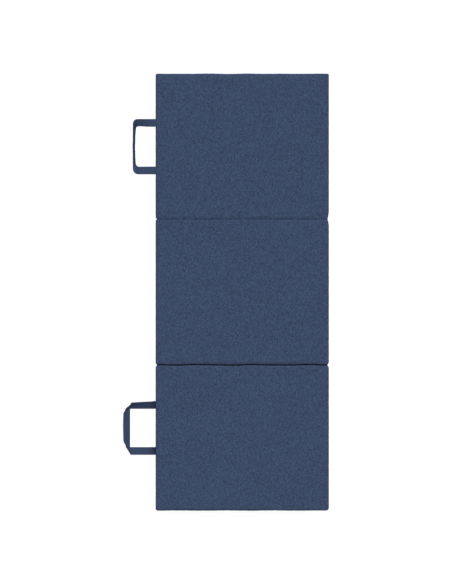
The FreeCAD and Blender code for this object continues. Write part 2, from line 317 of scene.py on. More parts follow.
def enamel_material(name):
    """Black enamel over zinc: worn a little lighter, with a fine orange-peel surface."""
    shader = Shader(name)
    place = shader.node("ShaderNodeTexCoord").outputs["Object"]
    peel = shader.noise(shader.scaled(place, (1800.0, 1800.0, 1800.0)), detail=2.0)
    worn = shader.noise(shader.scaled(place, (350.0, 350.0, 350.0)), detail=3.0)
    wear = shader.node("ShaderNodeMapRange", {0: worn, 1: 0.6, 2: 0.75}).outputs[0]
    colour = shader.tint(wear, (0.018, 0.019, 0.023), (0.085, 0.085, 0.088))
    rough = shader.math("MULTIPLY_ADD", worn, 0.25, 0.25)
    return shader.finish(colour, rough, peel, 0.00002, metallic=0.6)


def foam_material(name):
    """Closed-cell polyethylene foam: off-white beads pressed together."""
    shader = Shader(name)
    place = shader.node("ShaderNodeTexCoord").outputs["Object"]
    cells = shader.node("ShaderNodeTexVoronoi", {"Vector": place, "Scale": 320.0}, feature="SMOOTH_F1")
    depth = cells.outputs["Distance"]
    colour = shader.tint(depth, (0.80, 0.79, 0.75), (0.62, 0.61, 0.57))
    return shader.finish(colour, 0.75, depth, 0.0004, specular=0.3)


cloth = heather_cloth("heather_navy_cloth")
# The side band's cloth is the same navy made 3% darker: painted shade on the sides.
shaded_band_cloth = heather_cloth("heather_navy_band_cloth", 0.97)
# The crease strips and zip facings use the same navy made 3% darker: painted shade in the creases and the
# slots.
shaded_strip_cloth = heather_cloth("heather_navy_strip_cloth", 0.97)
webbing = webbing_material("navy_webbing")
tape = tape_material("navy_zip_tape")
thread = thread_material("navy_thread")
coil = coil_material("navy_nylon_coil")
enamel = enamel_material("black_enamel")
foam = foam_material("white_foam")


# ---------------------------------------------------------------- panels

class Panel:
    """One panel: its ends, the rounding of its end edges, and how its corners are drawn in.

    radii holds the rounding at (low Y, top), (high Y, top), (low Y, bottom), (high Y, bottom).
    corners holds the plan radius and pinches the (depth, length) of the drawn-in side,
    at (low X, low Y), (high X, low Y), (high X, high Y), (low X, high Y).
    waves holds the slow wave in the low and the high end edge: its size, its seed and its mean.
    soft_end is how far the top slumps at the high Y end, over the last SLUMP_REACH.
    """

    def __init__(self, name, radii, corners, pinches, waves, soft_end=0.0):
        low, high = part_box(f"{name}_side_band")
        self.name = name
        self.low = low.y
        self.high = high.y
        self.centre = (low.y + high.y) / 2
        self.length = high.y - low.y
        self.radii = radii
        self.corners = corners
        self.pinches = pinches
        self.waves = waves
        self.soft_end = soft_end


PANELS = [
    Panel("head",
          (HINGE_RADIUS, SIDE_RADIUS, OPEN_RADIUS, SIDE_RADIUS),
          (4 * MM, 5 * MM, 5 * MM, 6 * MM),
          ((1.0 * MM, 14 * MM), (4.4 * MM, 30 * MM), (0, MM), (0, MM)),
          ((0, 11, 0), (0.5 * MM, 12, 0.1 * MM)),
          soft_end=3.2 * MM),
    Panel("middle",
          (OPEN_RADIUS, HINGE_RADIUS, HINGE_RADIUS, OPEN_RADIUS),
          (5 * MM, 6 * MM, 5 * MM, 4 * MM),
          ((1.2 * MM, 9 * MM), (2.6 * MM, 11 * MM), (4.2 * MM, 23 * MM), (0.8 * MM, 10 * MM)),
          ((0.9 * MM, 13, 0.6 * MM), (0, 11, 0))),
    Panel("foot",
          (SIDE_RADIUS, OPEN_RADIUS, SIDE_RADIUS, HINGE_RADIUS),
          (8 * MM, 12 * MM, 6 * MM, 5 * MM),
          ((0, MM), (0, MM), (2.6 * MM, 10 * MM), (1.2 * MM, 8 * MM)),
          ((0.5 * MM, 14, -0.2 * MM), (0.9 * MM, 13, 0.6 * MM))),
]


def stations(length, marks=()):
    """Places along an edge: close together at both ends, even between, and one on each mark."""
    ends = np.array(EDGE_STEPS)
    inner_low = ends[-1]
    inner_high = length - ends[-1]
    stops = np.array([inner_low, *sorted(marks), inner_high])
    parts = []
    for start, stop in zip(stops[:-1], stops[1:]):
        count = max(1, round((stop - start) / GRID_STEP))
        parts.append(np.linspace(start, stop, count + 1)[:-1])
    return np.concatenate([ends[:-1], *parts, length - ends[::-1]])


def edge_inset(height, radius):
    """How far a rounded edge stands in at a height: r - sqrt(r^2 - (r - d)^2), d below the face."""
    depth = np.minimum(np.minimum(THICKNESS - height, height), radius)
    return radius - np.sqrt(np.maximum(radius**2 - (radius - depth) ** 2, 0))


def plan_place(panel, across, along, inset_side, inset_low, inset_high, height=1.0):
    """Plan position of fractions across and along a panel, for the outline inset on each side.

    Each corner square is mapped to a quarter disc by u' = u sqrt(1 - v^2 / 2), and v' likewise.
    Then the sides are drawn in near the creases and the ends take their slow waves, which fade
    to nothing towards the floor, where two panels hinge.
    Returns x, y and the distances to the nearer side and the nearer end.
    """
    x = -HALF_WIDTH + inset_side + across * 2 * (HALF_WIDTH - inset_side)
    y = panel.low + inset_low + along * (panel.length - inset_low - inset_high)
    right = across > 0.5
    upper = along > 0.5
    side_gap = HALF_WIDTH - inset_side - np.abs(x)
    end_gap = np.where(upper, panel.high - inset_high - y, y - panel.low - inset_low)
    order = np.where(upper, np.where(right, 2, 3), np.where(right, 1, 0))
    radius = np.array(panel.corners)[order]
    u = np.clip(1 - side_gap / radius, 0, 1)
    v = np.clip(1 - end_gap / radius, 0, 1)
    inside = (u > 0) & (v > 0)
    side_gap = np.where(inside, radius * (1 - u * np.sqrt(1 - v * v / 2)), side_gap)
    end_gap = np.where(inside, radius * (1 - v * np.sqrt(1 - u * u / 2)), end_gap)
    sign_x = np.where(right, 1, -1)
    x = sign_x * (HALF_WIDTH - inset_side - side_gap)
    y = np.where(upper, panel.high - inset_high - end_gap, panel.low + inset_low + end_gap)

    pinch = np.array(panel.pinches)[order]
    from_end = np.where(upper, panel.high - y, y - panel.low)
    drawn = pinch[..., 0] * np.clip(1 - from_end / pinch[..., 1], 0, 1) ** 1.4
    tail = 0.12 * pinch[..., 0] * np.exp(-from_end / (0.8 * pinch[..., 1] + MM))
    x = x - sign_x * (drawn + tail) * np.exp(-side_gap / 0.03)
    size_low, seed_low, mean_low = panel.waves[0]
    size_high, seed_high, mean_high = panel.waves[1]
    wave_low = (mean_low + size_low * wander(x, 0.16, seed_low)) * np.exp(-(y - panel.low) / 0.03)
    wave_high = (mean_high + size_high * wander(x, 0.16, seed_high)) * np.exp(-(panel.high - y) / 0.03)
    fade = np.clip((HALF_WIDTH - np.abs(x)) / 0.02, 0, 1) * smooth_step((height - 0.012) / 0.028)
    return x, y + fade * (wave_low + wave_high), side_gap, end_gap


def face_height(panel, side_gap, end_gap, upper, top, inset_side, inset_end, corner=0.010):
    """Depth of a top or bottom sheet below its flat face.

    The distance to the edge is measured to a rounded rectangle, and the depth at a distance d is
    r - sqrt(r^2 - (r - d)^2), with the radius turning from the side's to the end's at a corner.
    """
    both = (side_gap < corner) & (end_gap < corner)
    round_gap = corner - np.hypot(corner - side_gap, corner - end_gap)
    gap = np.maximum(np.where(both, round_gap, np.minimum(side_gap, end_gap)), 0)
    end_radius = np.where(upper, panel.radii[1 if top else 3], panel.radii[0 if top else 2])
    share = smooth_step(0.5 + (end_gap - side_gap) / (2 * corner))
    radius = end_radius + share * (SIDE_RADIUS - end_radius)
    inset = inset_end + share * (inset_side - inset_end)
    reach = np.minimum(gap + inset, radius)
    depth = radius - np.sqrt(np.maximum(radius**2 - (radius - reach) ** 2, 0))
    slump = panel.soft_end * np.clip(1 - end_gap / SLUMP_REACH, 0, 1) ** 2
    return np.maximum(depth, slump * (upper & top))


def border(rows, columns):
    """Numbers of the border points of a grid, anticlockwise from the first."""
    row = np.concatenate([np.arange(rows), np.full(columns - 1, rows - 1),
                          np.arange(rows - 2, -1, -1), np.zeros(columns - 2, int)])
    column = np.concatenate([np.zeros(rows, int), np.arange(1, columns),
                             np.full(rows - 1, columns - 1), np.arange(columns - 2, 0, -1)])
    return row * columns + column


class CoverShape:
    """The closed skin of a panel as a top grid, a bottom grid and rows of points round the band."""

    def __init__(self, panel, shrink=0.0):
        slot_low, slot_high = slot_ends(panel)
        across = stations(2 * HALF_WIDTH) / (2 * HALF_WIDTH)
        along = stations(panel.length, (slot_low - panel.low, slot_high - panel.low)) / panel.length
        self.rows = len(across)
        self.columns = len(along)
        self.across, self.along = np.meshgrid(across, along, indexing="ij")
        self.rim = border(self.rows, self.columns)
        self.top, self.top_gap = self.face(panel, True, shrink)
        self.bottom, self.bottom_gap = self.face(panel, False, shrink)
        self.band = np.stack([self.ring(panel, height, shrink) for height in BAND_HEIGHTS[::-1]])

    def insets(self, height, radii):
        """Insets of the sides, the low end and the high end at a height."""
        side = edge_inset(height, SIDE_RADIUS)
        return side, edge_inset(height, radii[0]), edge_inset(height, radii[1])

    def face(self, panel, top, shrink):
        """The points of the top or bottom sheet, and their distance to the seam."""
        radii = panel.radii[:2] if top else panel.radii[2:]
        side, low, high = self.insets(SEAM_TOP, radii)
        x, y, side_gap, end_gap = plan_place(
            panel, self.across, self.along, side + shrink, low + shrink, high + shrink,
            SEAM_TOP if top else 0.0)
        upper = self.along > 0.5
        depth = face_height(panel, side_gap, end_gap, upper, top, side, np.where(upper, high, low))
        depth = depth + shrink
        z = THICKNESS - depth if top else depth
        return np.stack([x, y, z], axis=-1), np.minimum(side_gap, end_gap)

    def ring(self, panel, height, shrink):
        """The points round the band at one height."""
        radii = panel.radii[:2] if height > THICKNESS / 2 else panel.radii[2:]
        side, low, high = self.insets(height, radii)
        x, y, _, _ = plan_place(panel, self.across.ravel()[self.rim], self.along.ravel()[self.rim],
                                side + shrink, low + shrink, high + shrink, height)
        return np.stack([x, y, np.full_like(x, height)], axis=-1)

    def joined(self):
        """All points as one array, and the faces of the closed skin."""
        size = self.rows * self.columns
        ring = len(self.rim)
        points = np.concatenate([self.top.reshape(-1, 3), self.bottom.reshape(-1, 3),
                                 self.band.reshape(-1, 3)])
        face = grid_quads(self.rows, self.columns)
        quads = [face, size + face[:, ::-1]]
        levels = [size + self.rim]
        levels += [2 * size + ring * row + np.arange(ring) for row in range(len(self.band))]
        levels += [self.rim]
        for low, high in zip(levels, levels[1:]):
            quads.append(np.stack([low, np.roll(low, -1), np.roll(high, -1), high], axis=1))
        return points, np.concatenate(quads)

    def take(self, points):
        """Puts an array of all points back into the grids."""
        size = self.rows * self.columns
        self.top = points[:size].reshape(self.top.shape)
        self.bottom = points[size:2 * size].reshape(self.bottom.shape)
        self.band = points[2 * size:].reshape(self.band.shape)


def slot_ends(panel):
    """The Y of both ends of the zip's slot in a panel's band."""
    low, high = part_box(f"{panel.name}_zip_facing_upper")
    return low.y, high.y


def inflate(shape, name, seed):
    """Fills the cover as its foam does: a short cloth simulation under pressure, with the seams held.

    The cloth starts a little slack and no point moves far: along each axis, a move m becomes
    m / (1 + |m| / limit).
    """
    points, quads = shape.joined()
    random = np.random.default_rng(seed)
    start = points.copy()
    start += random.normal(0, 0.00005, points.shape)
    mesh = bpy.data.meshes.new(name)
    mesh.from_pydata(start.tolist(), [], quads.tolist())
    body = bpy.data.objects.new(name, mesh)
    bpy.context.scene.collection.objects.link(body)
    size = shape.rows * shape.columns
    held = body.vertex_groups.new(name="seams")
    held.add([int(i) for i in shape.rim] + [int(i) + size for i in shape.rim], 1.0, "REPLACE")
    modifier = body.modifiers.new("Cloth", "CLOTH")
    settings = modifier.settings
    settings.quality = 4
    settings.mass = 0.4
    settings.tension_stiffness = 40
    settings.compression_stiffness = 40
    settings.shear_stiffness = 10
    settings.bending_stiffness = 1.5
    settings.shrink_min = -0.006
    settings.shrink_max = -0.006
    settings.use_pressure = True
    settings.uniform_pressure_force = 4
    settings.vertex_group_mass = "seams"
    settings.effector_weights.gravity = 0
    modifier.collision_settings.use_collision = False
    modifier.point_cache.frame_start = 1
    modifier.point_cache.frame_end = FILL_FRAMES
    scene = bpy.context.scene
    for step in range(1, FILL_FRAMES + 1):
        scene.frame_set(step)
    solved = body.evaluated_get(bpy.context.evaluated_depsgraph_get())
    moved = np.zeros(len(points) * 3)
    solved.data.vertices.foreach_get("co", moved)
    move = moved.reshape(-1, 3) - points
    shape.take(points + move / (1 + np.abs(move) / np.array(MOVE_LIMIT)))
    bpy.data.objects.remove(body)
    bpy.data.meshes.remove(mesh)
    scene.frame_set(1)


def settle(shape, panel):
    """Keeps the filled cover between the floor and the folded neighbour, and tucks in its seams."""
    shape.top[..., 2] = np.minimum(shape.top[..., 2], THICKNESS + 0.0003)
    shape.bottom[..., 2] = np.maximum(shape.bottom[..., 2], 0.0001)
    for grid, gap, sign in ((shape.top, shape.top_gap, 1), (shape.bottom, shape.bottom_gap, -1)):
        along = np.where(gap < 0.02, grid[..., 0] + 1.7 * grid[..., 1], 0)
        pucker = 0.00022 * wander(along, 0.024, 31) * np.exp(-gap / 0.006)
        grid[..., 2] += sign * (pucker - 0.00035 * np.exp(-gap / 0.0012))
        outward = np.stack([np.sign(grid[..., 0]), np.sign(grid[..., 1] - panel.centre)], axis=-1)
        tuck = 0.0006 * (gap < 0.0001)
        grid[..., :2] -= outward * tuck[..., None] * 0.7
    seam_low = shape.bottom.reshape(-1, 3)[shape.rim]
    seam_high = shape.top.reshape(-1, 3)[shape.rim]
    shape.rows_of_band = np.concatenate([seam_low[None], shape.band, seam_high[None]])


def cover_pieces(panel, shape):
    """The top sheet, bottom sheet and side band of one panel, as three sewn pieces of cloth."""
    face = grid_quads(shape.rows, shape.columns)
    name = panel.name
    top = mesh_piece(f"{name}_top_sheet_cloth", shape.top, face, cloth)
    bottom = mesh_piece(f"{name}_bottom_sheet_cloth", shape.bottom, face[:, ::-1], cloth)
    rows, ring = shape.rows_of_band.shape[:2]
    band_faces = grid_quads(ring, rows, close_rows=True)
    middle = shape.rows_of_band.transpose(1, 0, 2).reshape(-1, 3)
    centres = middle[band_faces].mean(axis=1)
    slot_low, slot_high = slot_ends(panel)
    zip_low, zip_high = slot_heights()
    in_slot = (centres[:, 0] > HALF_WIDTH - 0.004) & (centres[:, 1] > slot_low) & (centres[:, 1] < slot_high)
    in_slot &= (centres[:, 2] > zip_low) & (centres[:, 2] < zip_high)
    # The side band wears the navy darkened as painted shade.
    band = mesh_piece(f"{name}_side_band_cloth", middle, band_faces[~in_slot], shaded_band_cloth)
    for piece, node in ((top, "top_sheet"), (bottom, "bottom_sheet"), (band, "side_band")):
        finish_cloth(piece)
        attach(piece, f"{name}_panel")
        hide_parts(f"{name}_{node}")


def slot_heights():
    """Lower and upper edge of the zip's slot in the band."""
    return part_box("middle_zip_facing_lower")[0].z + 0.004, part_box("middle_zip_facing_upper")[1].z - 0.004


def foam_core(panel):
    """The foam block in a cover: the cover's own form, smaller all round, with room for the zip."""
    shape = CoverShape(panel, shrink=CLOTH + CORE_GAP)
    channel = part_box(f"{panel.name}_zip_slider")[0].x - 0.0004
    slot_low, slot_high = slot_ends(panel)
    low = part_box(f"{panel.name}_zip_facing_lower")[0].z
    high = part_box(f"{panel.name}_zip_facing_upper")[1].z
    band = shape.band
    behind = (band[..., 0] > 0.3) & (band[..., 1] > slot_low - 0.001) & (band[..., 1] < slot_high + 0.001)
    behind &= (band[..., 2] > low - 0.0008) & (band[..., 2] < high + 0.0008)
    band[..., 0] = np.where(behind, np.minimum(band[..., 0], channel), band[..., 0])
    points, quads = shape.joined()
    piece = mesh_piece(f"{panel.name}_foam_block", points, quads, foam)
    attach(piece, f"{panel.name}_panel")
    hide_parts(f"{panel.name}_foam_core")


# ---------------------------------------------------------------- straps

def strap_ring(width, thickness, count=15):
    """Cross-section of a strap: (across, height) pairs round it, with half-round edges."""
    half = thickness / 2
    flat = np.linspace(-1, 1, count) * (width / 2 - half)
    turn = np.linspace(-np.pi / 2, np.pi / 2, 6)[1:-1]
    right = np.stack([width / 2 - half + half * np.cos(turn), half * np.sin(turn)], axis=1)
    lower = np.stack([flat, np.full(count, -half)], axis=1)
    upper = np.stack([flat[::-1], np.full(count, half)], axis=1)
    left = np.stack([-right[::-1, 0], right[::-1, 1]], axis=1)
    return np.concatenate([lower, right, upper, left])


def strap_piece(name, points, along):
    """A closed strap from rings of points; its UV is across and along the strap, in metres."""
    rows, ring = points.shape[:2]
    section = strap_ring(STRAP_WIDTH, STRAP_THICKNESS)
    uv = np.stack(np.broadcast_arrays(section[None, :, 0] + STRAP_WIDTH, along[:, None]), axis=-1)
    quads = grid_quads(rows, ring, close_columns=True)[:, ::-1]
    middle = points[[0, -1]].mean(axis=1)
    every = np.concatenate([points.reshape(-1, 3), middle])
    every_uv = np.concatenate([uv.reshape(-1, 2), [[STRAP_WIDTH, along[0]], [STRAP_WIDTH, along[-1]]]])
    turn = np.arange(ring)
    first = np.stack([np.roll(turn, -1), turn, np.full(ring, rows * ring)], axis=1)
    last = np.stack([turn, np.roll(turn, -1), np.full(ring, rows * ring + 1)], axis=1)
    last[:, :2] += (rows - 1) * ring
    return mesh_piece(name, every, quads, webbing, uv=every_uv, caps=first.tolist() + last.tolist())


def fold(points, place, line, away, up, radius, angle):
    """Folds all points beyond a line, round an axis at a radius above it.

    q is the distance beyond the line and h the height along up. The wrap is t = min(q / r, angle)
    and the rest is q - r t. A point moves to (r - h) sin t + rest cos t beyond the line,
    and to r - (r - h) cos t + rest sin t above it.
    """
    line, away, up = (np.array(v, float) / np.linalg.norm(v) for v in (line, away, up))
    offset = points - np.array(place)
    along = offset @ line
    q = offset @ away
    h = offset @ up
    beyond = np.maximum(q, 0)
    t = np.minimum(beyond / radius, angle)
    rest = beyond - radius * t
    new_q = (radius - h) * np.sin(t) + rest * np.cos(t) + np.minimum(q, 0)
    new_h = radius - (radius - h) * np.cos(t) + rest * np.sin(t)
    moved = (np.array(place) + along[..., None] * line + new_q[..., None] * away
             + new_h[..., None] * up)
    return np.where((q > 0)[..., None], moved, points)


def handle_place(side):
    """Swing axis of a handle, and its inner end in the cover, from the frame."""
    pivot = np.array(JOINTS[f"{side}_handle_swing"]["pos_m"])
    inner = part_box(f"{side}_handle_anchors")[1].x
    return pivot, inner


def finish_strap(piece, side):
    """Hides the frame's handle and its anchors, and bakes the strap's placing into its mesh; its two legs
    are sewn in at the cover's seam.
    """
    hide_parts(f"{side}_handle", f"{side}_handle_anchors")
    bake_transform(piece)


def foot_handle():
    """The foot panel's handle: one strap folded flat at both corners, its far side lifted a little.

    Rows of points turn to lie along the folds: a point at s and t is at s + k t along the strap,
    with k going from 0 to 1 at the first fold, to -1 at the second, and back to 0.
    The folded corners then turn up, each leg rolls and the far side rises.
    """
    pivot, inner = handle_place("foot")
    centre_y = pivot[1] + 0.0033
    half_gap = 0.0965
    far_x = -0.4843
    y_high = centre_y + half_gap
    y_low = centre_y - half_gap
    leg = inner - far_x
    total = 2 * leg + 2 * half_gap
    folds = (leg, leg + 2 * half_gap)
    dense = [np.linspace(place - 0.006, place + 0.006, 40) for place in folds]
    base = np.arange(0, total, 0.0025)
    for place in folds:
        base = base[np.abs(base - place) > 0.0065]
    s = np.sort(np.concatenate([base, *dense, [total]]))
    rise = smooth_step((s - folds[0] + 0.055) / 0.049)
    swap = smooth_step((s - folds[0] - 0.010) / (2 * half_gap - 0.020))
    fall = smooth_step((s - folds[1] - 0.006) / 0.049)
    k = rise - 2 * swap + fall
    section = strap_ring(STRAP_WIDTH, STRAP_THICKNESS)
    t = section[None, :, 0]
    shape = (len(s), len(section))
    z = pivot[2]
    points = np.stack([inner - (s[:, None] + k[:, None] * t),
                       np.broadcast_to(y_high - t, shape),
                       np.broadcast_to(z + section[None, :, 1], shape)], axis=-1)
    turn = STRAP_THICKNESS / 2 + 0.0002
    flat = (0, 0, 1)
    points = fold(points, (far_x, y_high, z), (1, 1, 0), (-1, 1, 0), flat, turn, np.pi)
    points = fold(points, (far_x, y_low, z + 2 * turn), (1, -1, 0), (-1, -1, 0), (0, 0, -1), turn, np.pi)
    points = fold(points, (-0.4823, -0.4857, z), (0.645, 0.764, 0), (-0.764, 0.645, 0), flat, 0.006,
                  math.radians(68))
    points = fold(points, (-0.4792, -0.6567, z), (0.545, -0.839, 0), (-0.839, -0.545, 0), flat, 0.006,
                  math.radians(68))
    from_seam = -0.366 - points[..., 0]
    roll = math.radians(14) * smooth_step(from_seam / 0.014)
    roll = roll + math.radians(25) * np.clip(from_seam / 0.09, 0, 1)
    points = fold(points, (0, y_high - 0.013, z), (1, 0, 0), (0, 1, 0), flat, 0.012, roll + 0.001)
    roll = math.radians(7) * smooth_step(from_seam / 0.05)
    points = fold(points, (0, y_low + 0.013, z), (1, 0, 0), (0, -1, 0), flat, 0.014, roll + 0.001)
    along_far = (points[..., 1] - centre_y) / half_gap
    lift = math.radians(27) - 0.03 * np.sin(5 * along_far + 1)
    points = fold(points, (-0.4675, 0, z), (0, 1, 0), (-1, 0, 0), flat, 0.014, lift)
    points[..., 2] += 0.0012 * smooth_step((-0.37 - points[..., 0]) / 0.03)
    piece = strap_piece("foot_handle_strap", points, s)
    finish_strap(piece, "foot")


def strap_edge(u, start, far_x, leg_y, end_y, radius):
    """Points of one edge from a leg, round a corner, to the far side; u runs from 0 to 1 by length."""
    first = start - far_x - radius
    arc = radius * np.pi / 2
    last = leg_y - radius - end_y
    place = u * (first + arc + last)
    turn = np.clip((place - first) / arc, 0, 1) * np.pi / 2
    x = start - np.minimum(place, first) - radius * np.sin(turn)
    y = leg_y - radius * (1 - np.cos(turn)) - np.maximum(place - first - arc, 0)
    return x, y


def half_head_handle(inner, z, outer_radius, inner_radius, roll):
    """Outer and inner edge of half the head handle, with Y measured from its middle.

    The outer edge drops from the seam to the far side's top. The inner edge stays a strap's width
    from it: its drop below it is sqrt(w^2 - d^2), with d their distance in plan. On the leg it
    drops by the angle roll before the corner.
    """
    half_gap = 0.0995
    half = STRAP_WIDTH / 2
    start = -0.424
    end_y = 0.030
    flat = np.linspace(0, 1, 60)
    u = np.linspace(0, 1, 90)
    outer_x, outer_y = strap_edge(u, start, -0.4577, half_gap + half, end_y, outer_radius)
    inner_leg = half_gap + half - STRAP_WIDTH * math.cos(roll)
    inner_x, inner_y = strap_edge(u, start, -0.4490, inner_leg, end_y, inner_radius)
    inner_x = inner_x + 0.0036 * np.clip((inner_y - end_y) / 0.045, 0, 1) ** 2 * smooth_step(u / 0.5)
    outer_z = z - 0.0102 * smooth_step(u / 0.9)
    gap = np.minimum(np.hypot(outer_x - inner_x, outer_y - inner_y), STRAP_WIDTH)
    inner_z = outer_z - np.sqrt(STRAP_WIDTH**2 - gap**2)
    leg_x = inner + (start - inner) * flat[:-1]
    leg_z = z - 0.0009 * smooth_step((leg_x + 0.372) / 0.008)
    leg_roll = roll * smooth_step((-0.380 - leg_x) / (-0.380 - start))
    far_y = np.linspace(end_y, 0, 20)[1:]
    bow = np.cos(far_y / end_y * np.pi / 2) ** 2
    outer = np.concatenate([
        np.stack([leg_x, np.full_like(leg_x, half_gap + half), leg_z], axis=1),
        np.stack([outer_x, outer_y, outer_z], axis=1),
        np.stack([outer_x[-1] - 0.0010 * bow, far_y, outer_z[-1] - 0.0012 * bow], axis=1)])
    inside = np.concatenate([
        np.stack([leg_x, half_gap + half - STRAP_WIDTH * np.cos(leg_roll),
                  leg_z - STRAP_WIDTH * np.sin(leg_roll)], axis=1),
        np.stack([inner_x, inner_y, inner_z], axis=1),
        np.stack([inner_x[-1] - 0.0010 * bow, far_y, inner_z[-1] - 0.0012 * bow], axis=1)])
    return outer, inside


def smoothed(line, times=6):
    """A line of points, each moved to the mean of itself and its neighbours a few times."""
    line = line.copy()
    for _ in range(times):
        line[1:-1] = (line[:-2] + 2 * line[1:-1] + line[2:]) / 4
    return line


def head_handle():
    """The head panel's handle: its legs leave the top seam flat, and its far side stands on edge."""
    pivot, inner = handle_place("head")
    centre = np.array([0, pivot[1] + 0.0016, 0])
    mirror = np.array([1, -1, 1])
    outer_a, inside_a = half_head_handle(inner, pivot[2], 0.018, 0.012, math.radians(21))
    outer_b, inside_b = half_head_handle(inner, pivot[2], 0.022, 0.016, math.radians(5))
    outer = smoothed(np.concatenate([outer_a, (outer_b * mirror)[-2::-1]]) + centre)
    inside = smoothed(np.concatenate([inside_a, (inside_b * mirror)[-2::-1]]) + centre)
    middle = (outer + inside) / 2
    step = np.linalg.norm(np.diff(middle, axis=0), axis=1)
    along = np.concatenate([[0], np.cumsum(step)])
    tangent = np.gradient(middle, along, axis=0)
    across = outer - inside
    across /= np.linalg.norm(across, axis=1, keepdims=True)
    face = np.cross(tangent, across)
    face /= np.linalg.norm(face, axis=1, keepdims=True)
    section = strap_ring(STRAP_WIDTH, STRAP_THICKNESS)
    points = (middle[:, None] + section[None, :, 0, None] * across[:, None]
              + section[None, :, 1, None] * face[:, None])
    piece = strap_piece("head_handle_strap", points, along)
    finish_strap(piece, "head")


# ---------------------------------------------------------------- creases

def hinge_strip(name):
    """The strip of cloth sewn between two panels: a U with its bridge sagging a little between them."""
    low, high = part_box(name)
    at_top = (low.z + high.z) / 2 > THICKNESS / 2
    middle = (low.y + high.y) / 2
    half = (high.y - low.y) / 2 + 0.00035
    x = np.linspace(low.x, high.x, 121)
    turn = np.linspace(0, np.pi, 9)
    rise = np.linspace(0, 1, 7)[:-1]
    reach = high.z - low.z - 0.55 * half - 0.0001
    side_y = np.concatenate([np.full(len(rise), -half), -half * np.cos(turn), np.full(len(rise), half)])
    side_z = np.concatenate([reach * rise, reach + 0.55 * half * np.sin(turn), reach * rise[::-1]])
    sag = (1 + wander(x, 0.07, 51 if at_top else 52))[:, None] * 0.00015
    bridge = np.concatenate([0 * rise, np.sin(turn), 0 * rise])[None, :]
    z = side_z[None, :] - sag * bridge
    z = low.z + z if at_top else high.z - z
    y = np.broadcast_to(middle + side_y[None, :], z.shape)
    points = np.stack([np.broadcast_to(x[:, None], z.shape), y, z], axis=-1)
    quads = grid_quads(*points.shape[:2])
    # The strip wears the navy darkened as painted shade in the crease.
    piece = mesh_piece(f"{name}_cloth", points, quads if at_top else quads[:, ::-1], shaded_strip_cloth)
    finish_cloth(piece, STRIP_CLOTH, offset=0)
    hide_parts(name)
    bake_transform(piece)


# ---------------------------------------------------------------- zips

def strip_along(name, profile, y, material, thickness, wave=0.0, seed=0):
    """A strip of cloth with one (x, z) profile along Y, wavering a little in and out."""
    ripple = wave * wander(y, 0.05, seed)
    profile = np.array(profile)
    x = profile[None, :, 0] + ripple[:, None] * np.linspace(1, 0, len(profile))[None, :]
    z = np.broadcast_to(profile[None, :, 1], x.shape)
    points = np.stack([x, np.broadcast_to(y[:, None], x.shape), z], axis=-1)
    piece = mesh_piece(name, points, grid_quads(*points.shape[:2]), material)
    finish_cloth(piece, thickness, offset=0)
    return piece


def zip_facing(name, side, y):
    """The cloth that lines the zip's slot: in from the band's edge, then back behind the band."""
    low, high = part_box(f"{name}_zip_facing_upper")
    centre = zip_centre(name)
    lip = slot_heights()[1] - centre - 0.0003
    reach = high.z - centre
    depth = [high.x - 0.0006, high.x - 0.0012, high.x - 0.0024, high.x - 0.0040]
    profile = [(depth[0], lip + 0.0016), (depth[0] + 0.0002, lip + 0.0004), (depth[1], lip - 0.0003),
               (depth[2], lip - 0.0005), (depth[3], lip - 0.0004), (low.x + 0.0008, lip - 0.0002),
               (low.x + 0.0005, lip + 0.0005), (low.x + 0.0005, reach)]
    profile = [(x, centre + side * z) for x, z in profile]
    word = "upper" if side > 0 else "lower"
    node = f"{name}_zip_facing_{word}"
    # The facing wears the navy darkened as painted shade in the slot.
    piece = strip_along(f"{node}_cloth", profile, y, shaded_strip_cloth, FACING_CLOTH,
                        wave=0.00025, seed=61 if side > 0 else 62)
    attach(piece, f"{name}_panel")
    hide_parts(node)


def zip_centre(name):
    """Height of the zip's middle line."""
    return (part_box(f"{name}_zip_coil_upper")[0].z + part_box(f"{name}_zip_coil_lower")[1].z) / 2


def zip_tape(name, side, y):
    """The woven tape on one side of the zip, with a raised cord under the coil."""
    low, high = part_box(f"{name}_zip_tape_upper")
    centre = zip_centre(name)
    middle = (low.x + high.x) / 2
    start = 0.0006
    end = high.z - centre
    profile = [(middle, start), (middle - 0.0001, 0.0022), (middle, 0.0040), (middle, 0.0062), (middle, end)]
    profile = [(x, centre + side * z) for x, z in profile]
    word = "upper" if side > 0 else "lower"
    node = f"{name}_zip_tape_{word}"
    piece = strip_along(f"{node}_weave", profile, y, tape, TAPE_CLOTH)
    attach(piece, f"{name}_panel")
    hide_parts(node)


